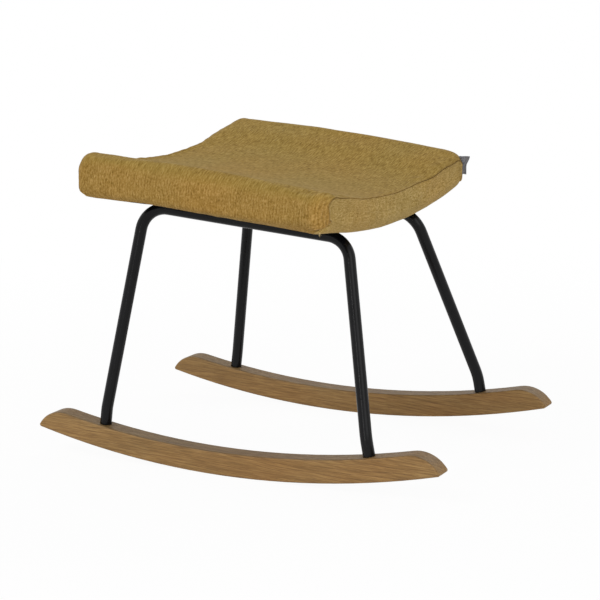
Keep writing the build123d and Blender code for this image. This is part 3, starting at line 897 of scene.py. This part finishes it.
def seam_profile():
    """Each column's surface distance from an end's rim to its seam."""
    v, w = outline(SEAT_MIDDLE, COVER_FORM).T
    share = height_share(v, w)
    on_top = ramp(share, *SEAM_TOP)
    valley = ramp(np.abs(v), *SEAM_VALLEY_ZONE)
    slope = ramp(np.abs(v), *SEAM_SLOPE_ZONE)
    corner = ramp(share, *SEAM_CORNER)
    side = SEAM_SIDE + (SEAM_LOW_CORNER - SEAM_SIDE) * corner
    under = ramp(share, *SEAM_UNDER_SHARES)
    ridge, inner = np.where(v < 0, *SEAM_RIDGE), np.where(v < 0, *SEAM_SLOPE)
    top = ridge + (inner - ridge) * slope + (SEAM_VALLEY - inner) * valley
    return side + (top - side) * on_top + (SEAM_UNDER - side) * under


SEAM = seam_profile()


def wave_noise(values, seed):
    """Smooth noise from -1 to 1 along a list of numbers."""
    return np.array([noise.noise((float(x), seed, 0.37 * seed)) for x in values]) * 2


def sewn(points, normals, from_seam, across):
    """Adds the seams' grooves and puckers, soft folds, and a slightly wavy hem."""
    u, v, w = points.T
    share = height_share(v, w)
    groove = -SEAM_DEPTH * bell(from_seam, 0, SEAM_HALF_WIDTH)
    puckers = PUCKER_HEIGHT * wave_noise(across / PUCKER_LENGTH, 2.0)
    puckers = puckers * np.exp(-np.abs(from_seam) / PUCKER_REACH)
    roll = ROLL_HEIGHT * bell(np.abs(from_seam), ROLL_FROM_SEAM, ROLL_WIDTH)
    lumps = LUMP_HEIGHT * np.array([noise.noise(point) for point in points / LUMP_SIZE])
    low_top = ramp(share, *CREASE_SHARES) * (u > SEAT_MIDDLE)
    crease = ramp(v, *CREASE_NEAR) * ramp(v, *CREASE_FAR) * low_top
    crease = crease * CREASE_DEPTH * bell(from_seam, CREASE_FROM_SEAM, CREASE_WIDTH)
    low_side = (u > SEAT_MIDDLE) * ramp(np.abs(v), *FOLD_ZONE)
    folds = sum(bell(from_seam, place, FOLD_WIDTH) for place in FOLDS_FROM_SEAM)
    folds = FOLD_DEPTH * folds * low_side * ramp(share, *FOLD_SHARES)
    out = groove + puckers + roll + lumps - crease - folds
    out = out * ramp(share, *SKIN_SHARES)

    lower = ramp(share, *HEM_WAVE_SHARES)
    side_edge = lower * ramp(np.abs(v), *HEM_WAVE_ZONE)
    end_edge = lower * ramp(np.minimum(u - HIGH_END, LOW_END - u), *END_WAVE_ZONE)
    long_wave, short_wave = HEM_WAVE_LENGTHS
    side_waves = wave_noise((u + SIDES_APART * np.sign(v)) / long_wave, 5.0)
    side_waves = side_waves + SHORT_WAVE_SHARE * wave_noise(u / short_wave, 9.0)
    end_waves = wave_noise(v / END_WAVE_LENGTH, 7.0)
    waves = np.where(side_edge > end_edge, side_waves, end_waves)
    drop = HEM_WAVE * waves * np.maximum(side_edge, end_edge)
    return points + normals * out[:, None] + np.outer(drop, (0, 0, 1))


def across_map():
    """Each column's distance round the outline at mid-length, and the whole way round."""
    ring = outline(SEAT_MIDDLE, COVER_FORM)
    steps = np.linalg.norm(np.diff(ring, axis=0, append=ring[:1]), axis=1)
    along = np.concatenate([[0.0], np.cumsum(steps)])
    return along[:-1], along[-1]


ACROSS, GIRTH = across_map()


def cushion_rows():
    """Surface distances of all rows, and the rows at which the cover begins and ends."""
    reach = COVER_STEPS[-1]
    low_panel = SEAM - PANEL_STEPS[::-1, None] * (SEAM + FLAT_RING)
    first, last = SEAM + reach, SURFACE_LENGTH - SEAM - reach
    count = int(round((SURFACE_LENGTH - 2 * reach) / ROW_LENGTH))
    parts = np.linspace(0, 1, count + 1)[1:-1, None]
    cover = [SEAM + COVER_STEPS[:, None], first + parts * (last - first)]
    cover = np.concatenate(cover + [SURFACE_LENGTH - SEAM - COVER_STEPS[::-1, None]])
    high_panel = SURFACE_LENGTH - low_panel[::-1]
    distances = np.concatenate([low_panel[:-1], cover, high_panel[1:]])
    return distances, len(low_panel) - 1, len(distances) - len(high_panel)


def finished_points(form, distances):
    """The cushion's points in the frame, stuffed, sewn and settled, and its seams' lines."""
    even, grid_move, inside_move = swell_field()
    from_low, from_high = distances - SEAM, SURFACE_LENGTH - SEAM - distances
    from_seam = np.where(np.abs(from_low) < np.abs(from_high), from_low, from_high)
    across = np.repeat(ACROSS[None], form.rows, axis=0)
    shaped = stuffed(form.points)
    normals = vertex_normals(shaped, form.faces)
    from_seam = form.extended(from_seam, FAR_FROM_SEAMS)
    shaped = sewn(shaped, normals, from_seam, form.extended(across, 0.0))
    moves = read_rows(even, grid_move, distances).reshape(-1, 3)
    v, w = form.points.T[1:]
    seam_line = bell(from_seam, 0, SEAM_LINE_WIDTH)
    seam_line = seam_line * ramp(height_share(v, w), *SEAM_LINE_SHARES)
    faint = ramp(v, *FAINT_NEAR) * ramp(v, *FAINT_FAR)
    seam_line = seam_line * (1 - FAINTNESS * faint)
    return to_frame(shaped) + np.concatenate([moves, inside_move]), seam_line


def piece_from(points, seam_line, faces, coordinates, name, material):
    """A piece from some of the cushion's faces, with its cloth map and its seams' lines."""
    used = sorted({index for face in faces for index in face})
    renumber = {old: new for new, old in enumerate(used)}
    own_faces = [tuple(renumber[index] for index in face) for face in faces]
    piece = add_piece(name, points[used], own_faces, material)
    lay_cloth(piece, [coordinates(face, index) for face in faces for index in face])
    line = piece.data.attributes.new("seam_line", "FLOAT", "POINT")
    line.data.foreach_set("value", seam_line[used])
    return piece


LOW_PANEL_MAP = 0.7  # where the panels' maps lie, clear of the cover's
HIGH_PANEL_MAP = 1.3
PANEL_FAN_ZONE = (0.17, 0.21)  # across, where the map's rows fan out past an end's flat
PANEL_TURN_ZONE = (0.21, 0.19)
PANEL_MIDDLE = 0.035  # height


def build_cushion():
    distances, low_row, high_row = cushion_rows()
    form = ClosedForm(read_rows(*COVER_TABLE, distances))
    points, seam_line = finished_points(form, distances)
    row_distance = distances.ravel()

    def cover_map(face, index):
        column = index % COLUMNS
        crosses = column == 0 and max(i % COLUMNS for i in face) == COLUMNS - 1
        return row_distance[index], GIRTH if crosses else ACROSS[column]

    def panel_map(_, index):
        u, v, w = form.points[index]
        reach = 0.0
        if index < form.low_start:
            reach = min(row_distance[index], SURFACE_LENGTH - row_distance[index])
            v += np.sign(v) * reach * float(ramp(abs(v), *PANEL_FAN_ZONE))
            turned = reach * float(ramp(abs(v), *PANEL_TURN_ZONE))
            w += turned if w > PANEL_MIDDLE else -turned
        return w + (LOW_PANEL_MAP if u > 0 else HIGH_PANEL_MAP), v

    cover_faces = form.grid_faces[low_row * COLUMNS : high_row * COLUMNS]
    low_faces = form.grid_faces[: low_row * COLUMNS] + form.low_faces
    high_faces = form.grid_faces[high_row * COLUMNS :] + form.high_faces
    for name, node, faces, coordinates, material, slot_name in (
        ("seat_cover_band", "seat_cover", cover_faces, cover_map, COVER_FABRIC, "cover_fabric"),
        ("end_panel_front", "end_panel_low", low_faces, panel_map, PANEL_FABRIC, "panel_fabric"),
        ("end_panel_back", "end_panel_high", high_faces, panel_map, PANEL_FABRIC, "panel_fabric"),
    ):
        piece = piece_from(points, seam_line, faces, coordinates, name, material)
        subdivide(piece)
        add_modifier(piece, "SOLIDIFY", thickness=COVER_THICKNESS, offset=-1.0)
        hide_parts(node)


def build_foam():
    """The foam block on the shell, close under the cloth."""
    form = even_form(base_table(FOAM_FORM), FLAT_RING / 2, FOAM_ROW_LENGTH)[-1]
    points = to_frame(stuffed(form.points))
    piece = add_piece("foam_block", points, form.faces, FOAM)
    subdivide(piece)
    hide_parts("foam_pad")


build_cushion()
build_foam()

# ----- under the cushion

BOARD_MARGIN = 0.017
BOARD_LIFT = 0.0014  # of the board's underside above the seat's
DUST_COVER_LIFT = -0.0009
SHEET_STEP = 0.006
DUST_EDGE = 0.007  # how far in from its edge the cloth hangs slack
DUST_EDGE_HANG = 0.0012
SLACK_ALONG = 0.021  # length of the slack's waves
SLACK_ACROSS = 0.030
LOOSE_HANG = 0.0016  # more hang at one place, where it shows under the near side
LOOSE_PLACE = -0.134
LOOSE_WIDTH = 0.013
BOARD_CLEARANCE = 0.0004
BOARD_EDGE = 0.0012  # width of its bevel


def rounded_grid(margin, corner_round):
    """(u, v) points of a sheet under the seat, its edges and round corners on a grid."""
    half_u = SEAT_LENGTH / 2 - margin
    half_v = SEAT_WIDTH / 2 - margin
    columns = int(round(2 * half_u / SHEET_STEP))
    rows = int(round(2 * half_v / SHEET_STEP))
    grid = np.zeros((columns + 1, rows + 1, 2))
    for i, a in enumerate(np.linspace(-half_u, half_u, columns + 1)):
        into_corner = max(abs(a) - (half_u - corner_round), 0.0)
        reach = half_v - corner_round + sqrt(max(corner_round**2 - into_corner**2, 0.0))
        grid[i, :, 0] = a + SEAT_MIDDLE
        grid[i, :, 1] = np.linspace(-reach, reach, rows + 1)
    return grid


def under_sheet(name, grid, lift, material):
    """A sheet that follows the seat's underside, lift above it."""
    u, v = grid.reshape(-1, 2).T
    w = SEAT_LIFT + v**2 / (2 * UNDERSIDE_RADIUS) + stuffed_shift(u, v, 0.0) + lift
    faces = sheet_faces(*grid.shape[:2])
    piece = add_piece(name, to_frame(np.column_stack([u, v, w])), faces, material)
    lay_cloth(piece, [(u[index], v[index]) for face in faces for index in face])
    return piece


def build_dust_cover():
    grid = rounded_grid(DUST_COVER_MARGIN, DUST_COVER_MARGIN)
    u, v = grid.reshape(-1, 2).T
    from_edge = SEAT_WIDTH / 2 - DUST_COVER_MARGIN - np.abs(v)
    from_end = SEAT_LENGTH / 2 - DUST_COVER_MARGIN - np.abs(u - SEAT_MIDDLE)
    edge = ramp(np.minimum(from_edge, from_end), DUST_EDGE, 0.0)
    slack = 0.5 + 0.5 * wave_noise(u / SLACK_ALONG, 3.0) * wave_noise(v / SLACK_ACROSS, 4.0)
    hang = DUST_EDGE_HANG * edge * np.clip(slack, 0, 1)
    loose = LOOSE_HANG * edge * bell(u, LOOSE_PLACE, LOOSE_WIDTH)
    lift = DUST_COVER_LIFT - hang - loose
    piece = under_sheet("dust_cloth", grid, lift, DUST_CLOTH)
    add_modifier(piece, "SOLIDIFY", thickness=DUST_COVER_THICKNESS, offset=0.0)
    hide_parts("dust_cover")


def build_board():
    grid = rounded_grid(BOARD_MARGIN, 2 * BOARD_MARGIN)
    piece = under_sheet("seat_board", grid, BOARD_LIFT, PLYWOOD)
    add_modifier(piece, "SOLIDIFY", thickness=SHELL_THICKNESS - BOARD_CLEARANCE, offset=-1.0)
    add_modifier(piece, "BEVEL", width=BOARD_EDGE, segments=2)
    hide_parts("seat_shell")


build_dust_cover()
build_board()

# ----- label, loose yarn

LABEL_WIDTH = 0.025
LABEL_LENGTH = 0.034  # of the whole ribbon, before it is folded in half
LABEL_TOP = 0.0688
LABEL_V = 0.1975
LABEL_GAP = 0.0011  # between the ribbon's two layers
LABEL_RISE = 0.15  # of the ribbon's top edge for each metre it stands out
LABEL_THICKNESS = 0.0003
LABEL_REACH = 0.0072  # of the fold from the seat's end
LABEL_FLARE = 0.0058  # how much further it reaches at the top, and at the foot
LABEL_FOOT = 0.0012
FLARE_ZONE = (0.45, 1.0)  # upward
LABEL_CURL = 12.0
LABEL_WAVE = 0.0016
LABEL_WAVE_LENGTH = 0.0042
LABEL_COLUMNS = 15
LABEL_ROWS = 16
LABEL_FOLD_POINTS = 9
YARN_PLACE = (0.1585, -0.2065, 0.0268)
YARN_SIDES = 6
YARN_STEPS = 8
YARN_BEND = 1.5  # the power at which the ends lean over with their length
YARN_TAPER = 0.6  # how much thinner they are at their tips
YARN_TWIST = 0.5  # in radians
# Each loose end: length, lean along the seat, lean across it, thickness
YARN_ENDS = (
    (0.0062, 0.0010, -0.0008, 0.00034),
    (0.0050, -0.0012, -0.0004, 0.00030),
    (0.0044, 0.0022, 0.0006, 0.00026),
    (0.0056, -0.0004, 0.0010, 0.00028),
    (0.0038, -0.0024, 0.0002, 0.00024),
)


def label_reach(height):
    """How far the fold stands out from the seat's end; height is 0 to 1, upward."""
    flare = LABEL_FLARE * float(ramp(height, *FLARE_ZONE))
    return LABEL_REACH + flare + LABEL_FOOT * (1 - height) ** 2


def label_row(height):
    """(u, v) points of the ribbon at one height: out, round the fold, and back."""
    half_gap = LABEL_GAP / 2
    tip = LOW_END + label_reach(height)
    start = tip - LABEL_LENGTH / 2
    out = [(u, LABEL_V - half_gap) for u in np.linspace(start, tip - half_gap, LABEL_COLUMNS)]
    fold = arc_points((tip - half_gap, LABEL_V), half_gap, -pi / 2, pi / 2, LABEL_FOLD_POINTS)
    back = [(u, v + LABEL_GAP) for u, v in out[::-1]]
    row = np.concatenate([out, fold[1:-1], back])
    past_end = np.clip(row[:, 0] - LOW_END, 0, None)
    row[:, 1] += LABEL_WAVE * np.sin(past_end / LABEL_WAVE_LENGTH)
    row[:, 1] -= LABEL_CURL * height * past_end**2
    return row


def build_label():
    heights = np.linspace(0, 1, LABEL_ROWS)
    rows = np.array([label_row(height) for height in heights])
    w = np.repeat(LABEL_TOP - LABEL_WIDTH * (1 - heights)[:, None], rows.shape[1], axis=1)
    w = w + LABEL_RISE * heights[:, None] * np.clip(rows[..., 0] - LOW_END, 0, None)
    points = np.concatenate([rows, w[..., None]], axis=2).reshape(-1, 3)
    columns = rows.shape[1]
    faces = sheet_faces(LABEL_ROWS, columns)
    piece = add_piece("folded_label", to_frame(points), faces, RIBBON)
    step = LABEL_LENGTH / (columns - 1)
    corners = [index for face in faces for index in face]
    lay_cloth(piece, [(index % columns * step, points[index, 2]) for index in corners])
    subdivide(piece)
    add_modifier(piece, "SOLIDIFY", thickness=LABEL_THICKNESS, offset=0.0)
    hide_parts("label_tag")


def build_yarn():
    """Loose yarn ends under the near corner of the low end."""
    points, faces = [], []
    for length, lean_u, lean_v, thickness in YARN_ENDS:
        base = len(points)
        for step in range(YARN_STEPS + 1):
            t = step / YARN_STEPS
            lean = t**YARN_BEND
            middle = np.array(YARN_PLACE) + (lean_u * lean, lean_v * lean, -length * t)
            radius = thickness * (1 - YARN_TAPER * t)
            for side in range(YARN_SIDES):
                angle = 2 * pi * side / YARN_SIDES + YARN_TWIST * t
                points.append(middle + (radius * cos(angle), radius * sin(angle), 0))
        faces += tube_faces(YARN_STEPS + 1, YARN_SIDES, base)
        last = base + YARN_STEPS * YARN_SIDES
        faces.append(tuple(range(base, base + YARN_SIDES)))
        faces.append(tuple(range(last, last + YARN_SIDES))[::-1])
    piece = add_piece("loose_yarn", to_frame(np.array(points)), faces, THREAD)
    subdivide(piece)


build_label()
build_yarn()

# ----- camera, lights

CAMERA_AZIMUTH = 0.517
CAMERA_ELEVATION = 0.209
CAMERA_ROLL = -0.035
CAMERA_DISTANCE = 2.65634
FOCAL_LENGTH_PX = 1913.44
PHOTO_SIZE_PX = 600
AIM_RIGHT = 0.010078
AIM_UP = 0.201889
SENSOR_WIDTH_MM = 36.0


def make_camera():
    level = cos(CAMERA_ELEVATION)
    across, toward = sin(CAMERA_AZIMUTH) * level, cos(CAMERA_AZIMUTH) * level
    back = Vector((across, -toward, sin(CAMERA_ELEVATION)))
    right = Vector((0, 0, 1)).cross(back).normalized()
    up = back.cross(right)
    camera = bpy.data.cameras.new("camera")
    camera.sensor_width = SENSOR_WIDTH_MM
    camera.lens = FOCAL_LENGTH_PX / PHOTO_SIZE_PX * SENSOR_WIDTH_MM
    camera.clip_end = 100.0
    viewer = new_object("camera", camera)
    place = right * AIM_RIGHT + Vector((0, 0, AIM_UP)) + back * CAMERA_DISTANCE
    rolled_right = right * cos(CAMERA_ROLL) + up * sin(CAMERA_ROLL)
    rolled_up = up * cos(CAMERA_ROLL) - right * sin(CAMERA_ROLL)
    turn = Matrix((rolled_right, rolled_up, back)).transposed()
    viewer.matrix_world = Matrix.Translation(place) @ turn.to_4x4()
    bpy.context.scene.camera = viewer


AMBIENT = 0.52
FLOOR_SIZE = 40.0
FLOOR_GLOW_NEAR = 0.95  # share of plain white that the camera sees beside the object
FLOOR_GLOW_FAR = 1.0
GLOW_FROM = 0.35
GLOW_TO = 1.6


def shown_plainly(n):
    """1 for the rays that show the background as it is, 0 for those that light."""
    path = n.node("ShaderNodeLightPath").outputs
    seen = n.math("MAXIMUM", path["Is Camera Ray"], path["Is Glossy Ray"])
    return n.math("MAXIMUM", seen, path["Is Transmission Ray"])


def make_world():
    world = bpy.data.worlds.new("studio")
    bpy.context.scene.world = world
    n = Nodes(world)
    strength = n.fit(shown_plainly(n), 0.0, 1.0, AMBIENT, 1.0)
    sky = n.node("ShaderNodeBackground", {"Color": (1, 1, 1, 1), "Strength": strength})
    n.node("ShaderNodeOutputWorld", {"Surface": sky.outputs[0]})


def pale_floor(n):
    """Plain paper that glows white by itself, more so away from the object."""
    flat = n.scaled(n.position(), 1, 1, 0)
    distance = n.node("ShaderNodeVectorMath", {0: flat}, operation="LENGTH").outputs["Value"]
    glow = n.fit(distance, GLOW_FROM, GLOW_TO, FLOOR_GLOW_NEAR, FLOOR_GLOW_FAR, smooth=True)
    paper = n.node("ShaderNodeBsdfDiffuse", {"Color": (0.90, 0.90, 0.90, 1)}).outputs[0]
    white = n.node("ShaderNodeEmission", {"Color": (1, 1, 1, 1), "Strength": 1.0}).outputs[0]
    share = n.times(glow, shown_plainly(n))
    mixed = n.node("ShaderNodeMixShader", {0: share, 1: paper, 2: white})
    n.node("ShaderNodeOutputMaterial", {"Surface": mixed.outputs[0]})


def make_floor():
    half = FLOOR_SIZE / 2
    corners = [(-half, -half, 0), (half, -half, 0), (half, half, 0), (-half, half, 0)]
    mesh = new_mesh("floor", corners, [(0, 1, 2, 3)])
    mesh.materials.append(make_material("pale_floor", pale_floor))
    new_object("floor", mesh)


# Name: place, width and height, watts
LAMPS = {
    "key": ((-1.6, -2.0, 2.6), (0.9, 0.9), 28.0),
    "fill": ((2.4, -1.4, 1.6), (1.8, 1.8), 15.0),
    "back": ((0.4, 2.4, 2.4), (1.8, 1.8), 16.0),
    "strip": ((0.2, -3.0, 0.95), (0.16, 1.8), 11.0),
}
LAMP_AIM = Vector((0, 0, 0.25))


def make_lamps():
    for name, (place, size, power) in LAMPS.items():
        light = bpy.data.lights.new(name, "AREA")
        light.shape = "RECTANGLE"
        light.size, light.size_y = size
        light.energy = power
        lamp = new_object(name, light)
        lamp.location = place
        lamp.rotation_mode = "QUATERNION"
        lamp.rotation_quaternion = (LAMP_AIM - Vector(place)).to_track_quat("-Z", "Y")


make_camera()
make_world()
make_floor()
make_lamps()
bpy.context.scene.view_settings.view_transform = "Standard"
